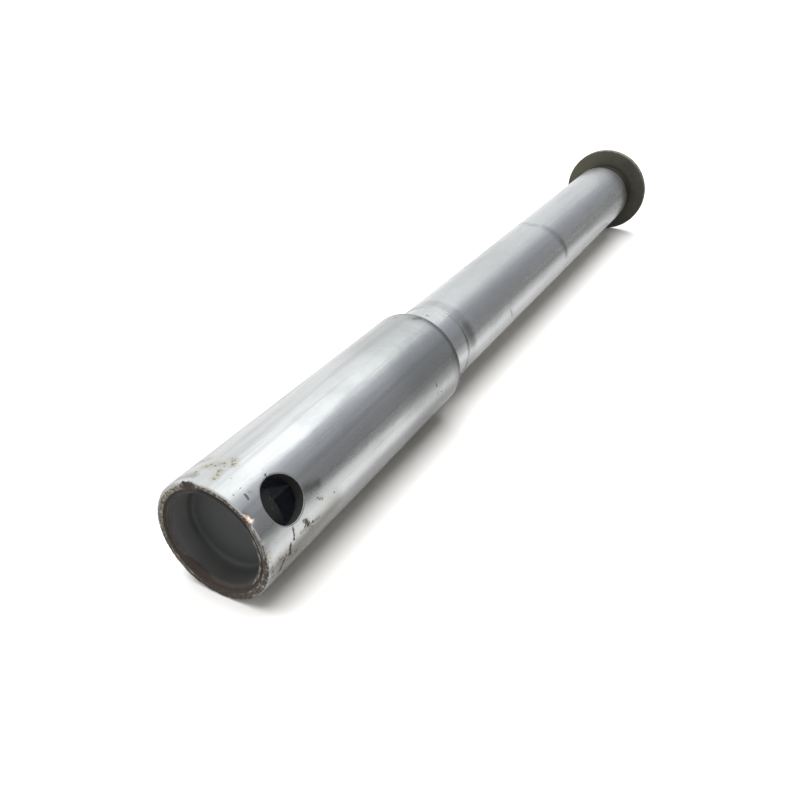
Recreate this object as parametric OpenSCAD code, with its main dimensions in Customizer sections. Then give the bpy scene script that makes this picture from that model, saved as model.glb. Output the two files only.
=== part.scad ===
// Front wheel axle: a hollow stepped spindle with a cross hole in its thick end,
// a cup-shaped plug pushed into that end and a flanged screw in the thin end.
// Millimetres. The axle lies along Y, +Z is up, and the origin is on the axis at the shoulder.

/* [Head] */
// Diameter of the thick end that the fork leg clamps
head_d = 30; // [28:0.5:36]
// Length of the thick end, from its open end to the shoulder
head_len = 90.5; // [70:0.5:110]
// Wall of the thick end
head_wall = 3; // [2.5:0.25:4]
// Depth of the wide bore, from the open end
head_bore_len = 78; // [50:1:80]
// Rounding of the open end's outer edge
end_round = 0.5; // [0.3:0.1:1.2]
// Chamfer inside the open end
mouth_edge = 1.1; // [0.9:0.1:1.4]
// Rounding of the shoulder's outer edge
shoulder_round = 0.8; // [0.3:0.1:1.2]

/* [Cross hole] */
// Diameter of the hole for a turning bar
cross_d = 11; // [8:0.5:12]
// Distance from the open end to the middle of the hole
cross_in = 10.5; // [9:0.5:20]
// Lean of the hole from level, as the axle lies
cross_turn = 37; // [0:1:180]
// Depth of the countersink at each mouth of the hole
cross_sink = 0.5; // [0.2:0.1:0.8]

/* [Shaft] */
// Diameter of the thin length that carries the wheel bearings
shaft_d = 25; // [22:0.5:26]
// Length of the thin part, from the shoulder to its end
shaft_len = 181.5; // [150:0.5:220]
// Bore through the thin part
shaft_bore_d = 17; // [12:0.5:17.5]
// Length of the relief next to the shoulder
relief_len = 11; // [5:0.5:25]
// Depth of the relief
relief_depth = 0.3; // [0.1:0.05:0.5]
// Distance from the shoulder to the seat line
line_at = 97; // [60:1:130]
// Width of the seat line
line_w = 1.2; // [0.6:0.1:2]
// Depth of the seat line
line_depth = 0.05; // [0.05:0.05:0.3]
// Chamfer at the thin end
tip_edge = 1; // [0.3:0.1:1.5]

/* [Plug] */
// Distance of the plug's lip inside the open end
plug_set = 0.4; // [0.2:0.1:0.6]
// Length of the plug
plug_len = 10.2; // [9:0.1:12]
// Depth of the plug's cup
cup_depth = 6.4; // [4:0.1:7]
// Wall of the plug's cup, at its bottom
cup_wall = 1; // [0.8:0.1:2]
// How much wider the cup is below its lip than at its bottom, on the radius
cup_draft = 0.5; // [0:0.1:0.5]
// Chamfer inside the plug's lip
lip_edge = 0.7; // [0.4:0.1:0.7]
// Rounding at the bottom of the cup
cup_round = 0.6; // [0.2:0.1:1]
// Chamfer at the plug's inner end
plug_edge = 0.3; // [0.1:0.1:0.5]

/* [Screw] */
// Diameter of the flange
flange_d = 36; // [32:0.5:44]
// Thickness of the flange
flange_t = 2.5; // [2:0.1:4]
// Rounding of the flange's two outer edges
flange_round = 0.6; // [0.2:0.1:0.9]
// Diameter of the plain neck under the flange
neck_d = 21; // [20:0.5:22]
// Length of the neck, from the shaft's end to the flange
neck_len = 7.5; // [5:0.5:10]
// Diameter of the shank in the shaft's thread
thread_d = 18; // [17.5:0.5:18.5]
// Length of the shank
thread_len = 25; // [15:1:40]
// Chamfer at the shank's tip
thread_edge = 1; // [0.5:0.1:2]
// Gap between the shank and its bore, on the radius
thread_gap = 0.05; // [0.02:0.01:0.1]
// Key size of the hexagon socket, across flats
socket_af = 14; // [10:1:14]
// Depth of the socket
socket_depth = 9; // [5:0.5:9.5]

/* [Hidden] */
$fn = 96;
eps = 0.01;
head_r = head_d / 2;
head_bore_r = head_r - head_wall;
mouth_r = head_bore_r + mouth_edge;
shaft_r = shaft_d / 2;
shaft_bore_r = shaft_bore_d / 2;
relief_r = shaft_r - relief_depth;
thread_r = thread_d / 2;
thread_bore_r = thread_r + thread_gap;
// The threaded bore runs a little deeper than the shank.
thread_bore_len = thread_len + 5;
open_end = -head_len;
bore_end = open_end + head_bore_len;
cross_r = cross_d / 2;
cross_at = open_end + cross_in;
lip_at = open_end + plug_set;
plug_end = lip_at + plug_len;
floor_at = lip_at + cup_depth;
lip_r = mouth_r - plug_set;
cup_r = head_bore_r - cup_wall;
flange_r = flange_d / 2;
flange_at = shaft_len + neck_len;
screw_end = flange_at + flange_t;
neck_r = neck_d / 2;

// A profile of radius and height, turned about the axle's axis.
module turned() {
    rotate([-90, 0, 0]) rotate_extrude() children();
}

// What a rounding of radius e takes off an outer corner. The solid lies above it for up = 1.
module corner_waste(r, h, e, up) {
    difference() {
        translate([r - e, up > 0 ? h - eps : h - e]) square(e + eps);
        translate([r - e, h + up * e]) circle(e);
    }
}

// The room in the plug's cup. Its wall leans outward from the rounding at the bottom to the lip's chamfer.
module cup_section() {
    difference() {
        polygon([
            [0, lip_at],
            [cup_r + cup_draft + lip_edge, lip_at],
            [cup_r + cup_draft, lip_at + lip_edge],
            [cup_r, floor_at - cup_round],
            [cup_r, floor_at],
            [0, floor_at]
        ]);
        corner_waste(cup_r, floor_at, cup_round, -1);
    }
}

// Half section of the spindle, bore included.
module shaft_section() {
    difference() {
        polygon([
            [mouth_r, open_end],
            [head_r, open_end],
            [head_r, 0],
            [relief_r, 0],
            [relief_r, relief_len],
            [shaft_r, relief_len + relief_depth],
            [shaft_r, line_at - line_w / 2],
            [shaft_r - line_depth, line_at],
            [shaft_r, line_at + line_w / 2],
            [shaft_r, shaft_len - tip_edge],
            [shaft_r - tip_edge, shaft_len],
            [thread_bore_r, shaft_len],
            [thread_bore_r, shaft_len - thread_bore_len],
            [shaft_bore_r, shaft_len - thread_bore_len - (thread_bore_r - shaft_bore_r)],
            [shaft_bore_r, bore_end + (head_bore_r - shaft_bore_r)],
            [head_bore_r, bore_end],
            [head_bore_r, open_end + mouth_edge]
        ]);
        corner_waste(head_r, open_end, end_round, 1);
        corner_waste(head_r, 0, shoulder_round, -1);
    }
}

// The hole for a turning bar, with a countersink at each mouth.
module cross_hole() {
    translate([0, cross_at, 0]) rotate([0, -cross_turn, 0]) {
        rotate([0, 90, 0]) cylinder(h = head_d + 2, r = cross_r, center = true);
        for (turn = [0, 180])
            rotate([0, turn, 0]) translate([head_r - cross_sink, 0, 0]) rotate([0, 90, 0])
                cylinder(h = 2 * cross_sink, r1 = cross_r, r2 = cross_r + 2 * cross_sink);
    }
}

module axle_shaft() {
    color([0.78, 0.79, 0.80]) difference() {
        turned() shaft_section();
        cross_hole();
    }
}

// The plug's lip widens into the mouth's chamfer.
module end_plug() {
    color([0.24, 0.25, 0.25]) turned() difference() {
        polygon([
            [0, lip_at],
            [lip_r, lip_at],
            [head_bore_r, open_end + mouth_edge],
            [head_bore_r, plug_end - plug_edge],
            [head_bore_r - plug_edge, plug_end],
            [0, plug_end]
        ]);
        cup_section();
    }
}

module axle_screw() {
    color([0.27, 0.27, 0.22]) difference() {
        turned() difference() {
            polygon([
                [0, shaft_len - thread_len],
                [thread_r - thread_edge, shaft_len - thread_len],
                [thread_r, shaft_len - thread_len + thread_edge],
                [thread_r, shaft_len],
                [neck_r, shaft_len],
                [neck_r, flange_at],
                [flange_r, flange_at],
                [flange_r, screw_end],
                [0, screw_end]
            ]);
            corner_waste(flange_r, flange_at, flange_round, 1);
            corner_waste(flange_r, screw_end, flange_round, -1);
        }
        translate([0, screw_end + eps, 0]) rotate([90, 0, 0])
            cylinder(h = socket_depth + eps, r = socket_af / 2 / cos(30), $fn = 6);
    }
}

axle_shaft();
end_plug();
axle_screw();
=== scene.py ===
"""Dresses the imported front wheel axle: a used bright spindle, its grey cup plug and its olive flanged screw."""

import math

import bmesh
import bpy
import numpy as np
from bpy.props import FloatProperty, FloatVectorProperty, IntProperty, PointerProperty
from bpy.types import Operator, Panel, PropertyGroup
from mathutils import Matrix, Vector, noise


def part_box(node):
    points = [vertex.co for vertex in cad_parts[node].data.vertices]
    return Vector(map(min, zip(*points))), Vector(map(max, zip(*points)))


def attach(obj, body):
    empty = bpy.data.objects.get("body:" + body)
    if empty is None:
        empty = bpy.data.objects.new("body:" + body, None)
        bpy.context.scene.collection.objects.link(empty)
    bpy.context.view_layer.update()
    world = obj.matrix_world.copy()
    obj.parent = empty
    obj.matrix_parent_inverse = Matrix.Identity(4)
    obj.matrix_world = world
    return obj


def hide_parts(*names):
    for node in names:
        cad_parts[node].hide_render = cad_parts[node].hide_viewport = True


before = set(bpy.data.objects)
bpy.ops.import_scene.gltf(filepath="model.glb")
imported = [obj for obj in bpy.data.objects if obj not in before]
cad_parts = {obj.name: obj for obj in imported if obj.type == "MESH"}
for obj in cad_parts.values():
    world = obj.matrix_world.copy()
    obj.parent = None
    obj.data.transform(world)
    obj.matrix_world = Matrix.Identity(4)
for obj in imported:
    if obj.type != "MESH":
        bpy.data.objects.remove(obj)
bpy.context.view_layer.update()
SHAFT_LOW, SHAFT_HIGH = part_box("axle_shaft")
PLUG_LOW, PLUG_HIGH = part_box("end_plug")
SCREW_LOW, SCREW_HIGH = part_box("axle_screw")

bl_info = {
    "name": "Front wheel axle",
    "version": (1, 0, 0),
    "blender": (4, 5, 0),
    "location": "View3D > Sidebar > Axle",
    "description": "Builds a used front wheel axle on its packed solids, with a plain studio stage",
    "category": "Object",
}

MM = 0.001
OPEN_END = SHAFT_LOW.y
TIP = SHAFT_HIGH.y


def length(label, words, default):
    """A size in metres that the sidebar shows."""
    return FloatProperty(name=label, description=words, default=default, min=0.0, precision=5, unit="LENGTH")


def colour(label, words, default):
    """A colour that the sidebar shows."""
    return FloatVectorProperty(name=label, description=words, default=default, size=3, min=0.0, max=1.0,
                               subtype="COLOR")


class ShaftSizes(PropertyGroup):
    """Sizes of the spindle."""

    head_radius: length("Head radius", "Radius of the thick end", SHAFT_HIGH.z)
    bore_radius: length("Bore radius", "Radius of the bore in the thick end", 12 * MM)
    end_round: length("End rounding", "Rounding of the open end's outer edge", 0.5 * MM)
    mouth_edge: length("Mouth chamfer", "Chamfer inside the open end", 1.1 * MM)
    bore_depth: length("Bore depth", "Depth of the wide bore from the open end", 78 * MM)
    shoulder_round: length("Shoulder rounding", "Rounding of the shoulder's outer edge", 0.8 * MM)
    shaft_radius: length("Shaft radius", "Radius of the thin length", 12.5 * MM)
    shaft_bore_radius: length("Shaft bore", "Radius of the bore in the thin length", 8.5 * MM)
    relief_length: length("Relief length", "Length of the relief next to the shoulder", 11 * MM)
    relief_depth: length("Relief depth", "Depth of the relief", 0.3 * MM)
    line_at: length("Seat line", "Distance from the shoulder to the seat line", 97 * MM)
    line_width: length("Seat line width", "Width of the seat line", 1.2 * MM)
    line_depth: length("Seat line depth", "Depth of the seat line", 0.05 * MM)
    tip_edge: length("Tip chamfer", "Chamfer at the thin end", 1.0 * MM)
    thread_bore_radius: length("Screw bore", "Radius of the bore that takes the screw", 9.05 * MM)
    thread_bore_length: length("Screw bore length", "Depth of the bore that takes the screw", 30 * MM)
    hole_radius: length("Cross hole radius", "Radius of the hole for a turning bar", 5.5 * MM)
    hole_in: length("Cross hole place", "Distance from the open end to the middle of the hole", 10.5 * MM)
    hole_lip: length("Cross hole lip", "Rounding of the hole's outer edge", 0.35 * MM)
    hole_turn: FloatProperty(name="Cross hole turn", description="Lean of the cross hole from level",
                             default=math.radians(37), subtype="ANGLE")
    columns: IntProperty(name="Columns", description="Faces round the spindle", default=192, min=64, max=384)


class FittingSizes(PropertyGroup):
    """Sizes of the plug, the screw and the crust on the open end."""

    cup_wall: length("Cup wall", "Wall of the plug's cup, at its bottom", 1.0 * MM)
    cup_draft: length("Cup draft", "How much wider the cup is below its lip, on the radius", 0.5 * MM)
    lip_edge: length("Lip chamfer", "Chamfer inside the plug's lip", 0.7 * MM)
    cup_depth: length("Cup depth", "Depth of the plug's cup", 6.4 * MM)
    cup_round: length("Cup rounding", "Rounding at the bottom of the cup", 1.3 * MM)
    plug_edge: length("Plug chamfer", "Chamfer at the plug's inner end", 0.3 * MM)
    flange_thickness: length("Flange thickness", "Thickness of the screw's flange", 2.5 * MM)
    flange_round: length("Flange rounding", "Rounding of the flange's edges", 0.6 * MM)
    neck_radius: length("Neck radius", "Radius of the neck under the flange", 10.5 * MM)
    shank_radius: length("Shank radius", "Radius of the shank in the shaft", 9.0 * MM)
    shank_edge: length("Shank chamfer", "Chamfer at the shank's tip", 1.0 * MM)
    key_size: length("Key size", "Width of the socket across flats", 14 * MM)
    key_depth: length("Key depth", "Depth of the socket", 9 * MM)
    crumb_size: length("Crumb size", "Largest crumb of rust and dirt on the open end", 0.24 * MM)
    crumb_count: FloatProperty(name="Crumbs", description="Crumbs on each square centimetre of the rim",
                               default=170.0, min=0.0, max=600.0)
    crumb_seed: IntProperty(name="Crumb seed", description="Seed for the places of the crumbs", default=7)


class Finishes(PropertyGroup):
    """Colours of the finishes."""

    metal: colour("Metal", "Bright worn metal", (0.70, 0.71, 0.715))
    metal_dull: colour("Dull metal", "Metal with a thin grey film", (0.50, 0.515, 0.515))
    bore: colour("Bore", "Unpolished metal in the bore", (0.40, 0.45, 0.52))
    # A painted streak of light along the bore.
    bore_painted_light: colour("Pale bore", "Paler streak along the bore", (0.97, 0.99, 1.0))
    # Painted shade: the cross hole's wall, near black.
    hole: colour("Hole wall", "Oily wall of the cross hole", (0.022, 0.022, 0.021))
    rust: colour("Rust", "Rust inside the mouth", (0.046, 0.028, 0.020))
    dirt: colour("Dirt", "Darkest dirt on the rim", (0.030, 0.024, 0.019))
    grime: colour("Grime", "Olive brown grime", (0.150, 0.128, 0.078))
    tan: colour("Tan", "Rusty tan in the grime", (0.30, 0.215, 0.115))
    grease: colour("Grease", "Thin grey grease", (0.13, 0.13, 0.125))
    soot: colour("Soot", "Black specks", (0.016, 0.016, 0.015))
    copper: colour("Bare patch", "Coppery patch worn through on the rim", (0.76, 0.52, 0.38))
    plug: colour("Plug", "Dark grey moulded plug", (0.0525, 0.0580, 0.0575))
    olive: colour("Olive plating", "Plating of the screw", (0.096, 0.094, 0.076))
    # Painted light: the flange's lighter, yellower side.
    olive_lit_side: colour("Warm plating", "Yellower plating on one side of the flange", (0.112, 0.109, 0.078))
    # Worn plating and a painted highlight at the flange's rim edge.
    olive_worn_and_highlight: colour("Worn plating", "Plating worn at its edges", (0.27, 0.26, 0.20))


class StageSettings(PropertyGroup):
    """Camera, floor and light."""

    lens: FloatProperty(name="Lens", description="Focal length for a 36 mm sensor", default=36.424, unit="CAMERA")
    key: FloatProperty(name="Key light", description="Irradiance of the overhead light", default=4.6, min=0.0)
    key_spread: FloatProperty(name="Key spread", description="Angle of the overhead light",
                              default=math.radians(60), subtype="ANGLE")
    floor_white: FloatProperty(name="Floor white", description="How far the camera sees the floor as white",
                               default=0.88, min=0.5)
    floor: colour("Floor", "Colour of the floor", (0.945, 0.94, 0.93))
    floor_bounce: colour("Floor bounce", "Colour of the light that the floor throws back", (0.34, 0.325, 0.31))


class Wire:
    """A value in a node tree, which can be reckoned with like a number."""

    def __init__(self, tree, socket):
        self.tree, self.socket = tree, socket

    def math(self, operation, *others, clamp=False):
        """The result of a Math node that starts with this value."""
        return put(self.tree, "ShaderNodeMath", dict(enumerate((self, *others))), operation=operation,
                   use_clamp=clamp)[0]

    def vector(self, operation, *others, out="Vector"):
        """The result of a Vector Math node that starts with this value."""
        return put(self.tree, "ShaderNodeVectorMath", dict(enumerate((self, *others))), operation=operation)[out]

    def scaled(self, scale):
        """This vector times a number."""
        return put(self.tree, "ShaderNodeVectorMath", {0: self, "Scale": scale}, operation="SCALE")["Vector"]

    def __add__(self, other):
        return self.math("ADD", other)

    def __sub__(self, other):
        return self.math("SUBTRACT", other)

    def __rsub__(self, other):
        return put(self.tree, "ShaderNodeMath", {0: other, 1: self}, operation="SUBTRACT")[0]

    def __mul__(self, other):
        return self.math("MULTIPLY", other)

    def __truediv__(self, other):
        return self.math("DIVIDE", other)

    def most(self, *others):
        """The greatest of this value and others."""
        made = self
        for other in others:
            made = made.math("MAXIMUM", other)
        return made

    def ramp(self, low, high, to_low=0.0, to_high=1.0, smooth=True):
        """This value carried from one range to another."""
        return put(self.tree, "ShaderNodeMapRange",
                   {"Value": self, "From Min": low, "From Max": high, "To Min": to_low, "To Max": to_high},
                   interpolation_type="SMOOTHSTEP" if smooth else "LINEAR")["Result"]

    def between(self, low, high, soft):
        """A mask for values from low to high."""
        return self.ramp(low - soft, low + soft) * self.ramp(high + soft, high - soft)


class Outputs:
    """What a node gives, as wires by number or name."""

    def __init__(self, tree, node):
        self.tree, self.node = tree, node

    def __getitem__(self, key):
        return Wire(self.tree, self.node.outputs[key])


def feed(node, inputs):
    """Fills a node's inputs, each from a wire or with a plain value."""
    for key, value in inputs.items():
        if isinstance(value, Wire):
            value.tree.links.new(value.socket, node.inputs[key])
        else:
            node.inputs[key].default_value = value


def put(tree, kind, inputs=None, **settings):
    """Adds a node, and returns its outputs."""
    made = tree.nodes.new(kind)
    for name, value in settings.items():
        setattr(made, name, value)
    feed(made, inputs or {})
    return Outputs(tree, made)


def blend(mask, first, second):
    """A colour between two others."""
    first, second = (c if isinstance(c, Wire) else (*c, 1.0) for c in (first, second))
    return put(mask.tree, "ShaderNodeMix", {0: mask, 6: first, 7: second}, data_type="RGBA")[2]


def tinted(shade, share):
    """A plain colour made darker or lighter."""
    return [share * c for c in shade]


def cloud(place, scale, detail=3.0, roughness=0.55, stretch=None):
    """Noise at a place, from 0 to 1."""
    if stretch:
        place = place.vector("MULTIPLY", stretch)
    return put(place.tree, "ShaderNodeTexNoise",
               {"Vector": place, "Scale": scale, "Detail": detail, "Roughness": roughness})[0]


def shades(value, stops):
    """Rows of shades along a value, each a place and a colour, which may carry a fourth value."""
    made = put(value.tree, "ShaderNodeValToRGB", {0: value})
    row = made.node.color_ramp.elements
    while len(row) < len(stops):
        row.new(0.5)
    for element, (at, shade) in zip(row, stops):
        element.position = at
        element.color = (*shade, 1.0)[:4]
    return made


def bumped(height, strength, distance):
    """The normal of a surface with fine relief."""
    return put(height.tree, "ShaderNodeBump", {"Strength": strength, "Distance": distance, "Height": height})[0]


def joined(x, y):
    """A place made of two values."""
    return put(x.tree, "ShaderNodeCombineXYZ", {0: x, 1: y})[0]


def measured(place):
    """The parts of a place, and its distance from the axis."""
    x, y, z = put(place.tree, "ShaderNodeSeparateXYZ", {0: place})
    return x, y, z, (x * x + z * z).math("SQRT")


def swing(place):
    """The angle about the axis in radians, from 0 at -X over the top."""
    x, _, z = put(place.tree, "ShaderNodeSeparateXYZ", {0: place})
    return z.math("ARCTAN2", x * -1.0)


def around(place):
    """The turn about the axis, from 0 at -X over the top to 1."""
    return (swing(place) / (2 * math.pi) + 1.0).math("FRACT")


def new_tree(name, kind, inputs, outputs):
    """An empty node tree with named sockets, each with what it carries."""
    tree = bpy.data.node_groups.new(name, kind)
    for side, sockets in (("INPUT", inputs), ("OUTPUT", outputs)):
        for label, carries in sockets.items():
            tree.interface.new_socket(label, in_out=side, socket_type="NodeSocket" + carries)
    return tree, Outputs(tree, tree.nodes.new("NodeGroupInput")), tree.nodes.new("NodeGroupOutput")


def make_stroke_group():
    """A mark along a straight line between two points, with a ragged edge, laid over the marks before it."""
    tree, given, result = new_tree(
        "Stroke", "ShaderNodeTree",
        {"Place": "Vector", "Laid": "Float", "From": "Vector", "To": "Vector", "Width": "Float", "Soft": "Float",
         "Ragged": "Float", "Noise": "Float"},
        {"Place": "Vector", "Laid": "Float"})
    reach = given["Place"].vector("SUBTRACT", given["From"])
    span = given["To"].vector("SUBTRACT", given["From"])
    along = reach.vector("DOT_PRODUCT", span, out="Value").math(
        "DIVIDE", span.vector("DOT_PRODUCT", span, out="Value"), clamp=True)
    off = reach.vector("SUBTRACT", span.scaled(along)).vector("LENGTH", out="Value")
    shift = (given["Noise"] - 0.5) * (given["Ragged"] * given["Width"])
    inner = given["Width"] * (1.0 - given["Soft"])
    laid = given["Laid"].most((off + shift).ramp(given["Width"], inner))
    # The next mark waits for this one, which keeps the shader's working memory small.
    feed(result, {"Place": given["Place"].vector("ADD", laid * 1e-12), "Laid": laid})
    return tree


def make_turning_group():
    """Fine lines round the axis, as a lathe leaves them, and broad unevenness."""
    tree, given, result = new_tree("Turning marks", "ShaderNodeTree",
                                   {"Place": "Vector", "Lines": "Float", "Waves": "Float"},
                                   {"Lines": "Float", "Waves": "Float"})
    x, y, z = put(tree, "ShaderNodeSeparateXYZ", {0: given["Place"]})
    fine = put(tree, "ShaderNodeCombineXYZ", {0: x * 60.0, 1: y * given["Lines"], 2: z * 60.0})[0]
    feed(result, {"Lines": cloud(fine, 1.0, 2.0, 0.6),
                  "Waves": cloud(given["Place"].scaled(given["Waves"]), 1.0, 2.0, 0.5)})
    return tree


def make_flecks_group():
    """Scattered flecks of uneven size."""
    tree, given, result = new_tree("Flecks", "ShaderNodeTree",
                                   {"Place": "Vector", "Scale": "Float", "Size": "Float", "Share": "Float"},
                                   {"Mask": "Float"})
    bend = put(tree, "ShaderNodeTexNoise", {"Vector": given["Place"], "Scale": 900.0})[1]
    bent = given["Place"].vector("ADD", bend.vector("MULTIPLY", (0.6 * MM,) * 3))
    cells = put(tree, "ShaderNodeTexVoronoi", {"Vector": bent, "Scale": given["Scale"]})
    luck, breadth, _ = put(tree, "ShaderNodeSeparateColor", {0: cells["Color"]})
    size = given["Size"] * (breadth + 0.25)
    dot = cells["Distance"].ramp(size, size * 0.45)
    feed(result, {"Mask": dot * luck.math("LESS_THAN", given["Share"])})
    return tree


def make_hairline_group():
    """Thin scratches that wander along and across the surface."""
    tree, given, result = new_tree("Hairlines", "ShaderNodeTree",
                                   {"Place": "Vector", "Turn": "Float", "Scale": "Float", "Thin": "Float"},
                                   {"Mask": "Float"})
    turned = put(tree, "ShaderNodeVectorRotate",
                 {"Vector": given["Place"], "Angle": given["Turn"], "Axis": (0.8, 0.0, 0.6)})[0]
    wander = cloud(turned.vector("MULTIPLY", (1.0, 0.05, 1.0)).scaled(given["Scale"]), 1.0, 1.0, 0.5)
    line = (wander - 0.5).math("ABSOLUTE").ramp(given["Thin"], 0.0)
    broken = cloud(given["Place"], 170.0, 2.0).ramp(0.50, 0.62)
    feed(result, {"Mask": line * broken})
    return tree


GROUP_MAKERS = {"Stroke": make_stroke_group, "Turning marks": make_turning_group,
                "Flecks": make_flecks_group, "Hairlines": make_hairline_group}


def use(name, **inputs):
    """Places a shared effect in the tree of its place, and returns its outputs."""
    group = bpy.data.node_groups.get(name) or GROUP_MAKERS[name]()
    return put(inputs["Place"].tree, "ShaderNodeGroup", inputs, node_tree=group)


def new_finish(name):
    """An empty material, its shader and the place on the piece."""
    made = bpy.data.materials.new(name)
    made.use_nodes = True
    return made, made.node_tree.nodes["Principled BSDF"], put(made.node_tree, "ShaderNodeTexCoord")["Object"]


# Where marks were measured from, inside the open end in mm, and the true length of a measured millimetre.
MARKS_FROM, MARKS_STEP = 0.25, 0.993


def on_axle(s, angle, radius):
    """A point on the surface, by the distance in mm from the open end and the degrees from -X over the top."""
    a = math.radians(angle)
    along = OPEN_END + (MARKS_FROM + MARKS_STEP * s) * MM
    return Vector((-radius * math.cos(a) * MM, along, radius * math.sin(a) * MM))


# Radii in mm that carry marks: the thick end, the thin length, the open end's worn edge
# and long marks at the seat.
HEAD, THIN, WORN, SEAT = 15.0, 12.4, 14.8, 12.65
# Black specks: radius of the surface, distance in mm, degrees and radius of the speck in mm.
SPECKS = [(HEAD, 4.8, 102.7, 0.17), (HEAD, 3.2, 105.2, 0.15), (HEAD, 4.1, 113.6, 0.17), (HEAD, 1.7, 114.3, 0.18),
          (HEAD, 4.9, 80.6, 0.22), (HEAD, 5.6, 91.8, 0.14), (HEAD, 4.3, 92.4, 0.12), (HEAD, 14.4, 81.1, 0.13),
          (HEAD, 17.4, 100.9, 0.13), (HEAD, 11.5, 113.9, 0.16), (HEAD, 3.3, 166.7, 0.14), (HEAD, 78.3, 178.8, 0.38),
          (HEAD, 2.3, 97.0, 0.12), (HEAD, 19.2, 165.4, 0.30), (HEAD, 20.0, 167.2, 0.24), (HEAD, 24.5, 171.7, 0.34),
          (HEAD, 15.5, 178.6, 0.42), (HEAD, 12.7, 176.2, 0.30), (HEAD, 14.8, 181.4, 0.32)]
# Marks: radius of the surface, distance and degrees of both ends, half width in mm, softness, raggedness.
SOOT_MARKS = [
    (HEAD, 10.9, 118.6, 10.4, 121.6, 0.40, 0.6, 1.6), (HEAD, 3.6, 120.2, 3.4, 124.2, 0.40, 0.5, 1.2),
    (HEAD, 13.5, 172.2, 13.9, 177.2, 0.85, 0.9, 1.9), (HEAD, 9.0, 167.7, 8.6, 177.5, 0.42, 0.7, 1.4),
    (HEAD, 7.2, 179.6, 6.9, 189.4, 0.62, 0.8, 1.8), (HEAD, 4.8, 189.2, 3.7, 197.2, 0.60, 0.8, 1.8),
    (HEAD, 75.8, 165.6, 76.0, 168.4, 0.27, 0.6, 1.2), (HEAD, 76.2, 175.1, 76.4, 186.5, 0.15, 0.6, 0.8),
    (THIN, 97.1, 91.8, 97.1, 97.6, 0.55, 0.8, 1.0),
]
GRIME_MARKS = [
    (HEAD, 8.4, 94.0, 9.8, 90.0, 2.4, 1.0, 1.0), (HEAD, 5.6, 72.0, 7.8, 88.0, 2.2, 1.0, 1.0),
    (HEAD, 2.6, 64.0, 3.4, 71.0, 1.8, 1.0, 1.0), (HEAD, 3.0, 92.0, 5.6, 90.0, 1.7, 1.0, 1.0),
    (HEAD, 7.6, 54.0, 8.6, 66.0, 2.0, 1.0, 1.0), (HEAD, 12.6, 171.0, 15.0, 184.0, 1.5, 1.0, 1.0),
    (WORN, 0.2, 168.0, 1.2, 190.0, 1.6, 1.0, 1.0), (HEAD, 3.0, 184.0, 9.6, 194.0, 2.4, 1.0, 1.0),
    (HEAD, 4.8, 120.4, 5.0, 121.6, 0.7, 1.0, 1.0), (HEAD, 18.6, 163.0, 20.2, 167.0, 1.0, 1.0, 1.0),
]
GREASE_MARKS = [
    (HEAD, 88.2, 94.5, 89.4, 98.5, 1.20, 0.9, 1.2), (HEAD, 86.8, 72.4, 87.3, 75.0, 0.70, 1.0, 1.2),
    (HEAD, 11.0, 178.0, 17.9, 180.5, 0.55, 1.0, 1.6), (HEAD, 75.1, 157.7, 76.0, 166.4, 0.14, 0.8, 1.0),
    (HEAD, 16.4, 149.0, 20.6, 153.0, 1.80, 1.0, 1.2), (SEAT, 104.8, 143.0, 105.2, 167.0, 3.60, 0.9, 0.8),
    (THIN, 134.4, 175.0, 136.2, 187.0, 1.00, 1.0, 1.6), (SEAT, 188.2, 148.0, 189.8, 171.0, 3.00, 1.0, 0.5),
    (WORN, 0.4, 28.0, 0.8, 50.0, 1.10, 1.0, 1.0), (WORN, 1.4, 56.0, 2.2, 74.0, 1.50, 1.0, 1.0),
]
SMEAR_MARKS = [
    (SEAT, 186.2, 112.0, 187.4, 136.0, 3.80, 1.0, 1.2), (SEAT, 184.6, 85.0, 184.9, 93.0, 2.60, 1.0, 1.4),
    (SEAT, 188.4, 56.0, 186.6, 74.0, 2.40, 1.0, 1.6), (HEAD, 88.0, 92.0, 89.6, 112.0, 2.60, 1.0, 1.0),
    (HEAD, 88.6, 158.0, 88.8, 176.0, 3.40, 1.0, 1.0), (HEAD, 5.0, 193.0, 24.0, 181.0, 4.60, 0.8, 1.4),
]
COPPER_MARKS = [(WORN, 0.3, 135.6, 0.6, 138.6, 0.70, 0.8, 1.4), (WORN, -0.1, 131.0, 0.1, 133.0, 0.35, 0.8, 1.2)]
GLINT_MARKS = [(WORN, 0.45, 136.4, 0.6, 138.0, 0.48, 0.8, 1.0)]
# Dirt on the rim, by the turn from -X over the top: its tone and how much bare metal shows through it.
RIM_TONES = [(0.00, (0.150, 0.145, 0.105, 0.55)), (0.08, (0.170, 0.170, 0.105, 0.80)),
             (0.15, (0.175, 0.180, 0.105, 0.95)), (0.178, (0.150, 0.130, 0.095, 0.75)),
             (0.190, (0.024, 0.016, 0.013, 0.10)), (0.212, (0.024, 0.016, 0.013, 0.12)),
             (0.23, (0.150, 0.135, 0.115, 0.60)), (0.33, (0.150, 0.135, 0.120, 0.60)),
             (0.40, (0.110, 0.088, 0.072, 0.50)), (0.46, (0.055, 0.040, 0.030, 0.42)),
             (0.52, (0.065, 0.050, 0.034, 0.40)), (0.60, (0.100, 0.080, 0.054, 0.34)),
             (0.66, (0.060, 0.050, 0.034, 0.25)), (0.78, (0.045, 0.034, 0.025, 0.12)),
             (0.86, (0.042, 0.033, 0.027, 0.25)), (0.94, (0.070, 0.064, 0.052, 0.42)),
             (1.00, (0.150, 0.145, 0.105, 0.55))]
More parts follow.
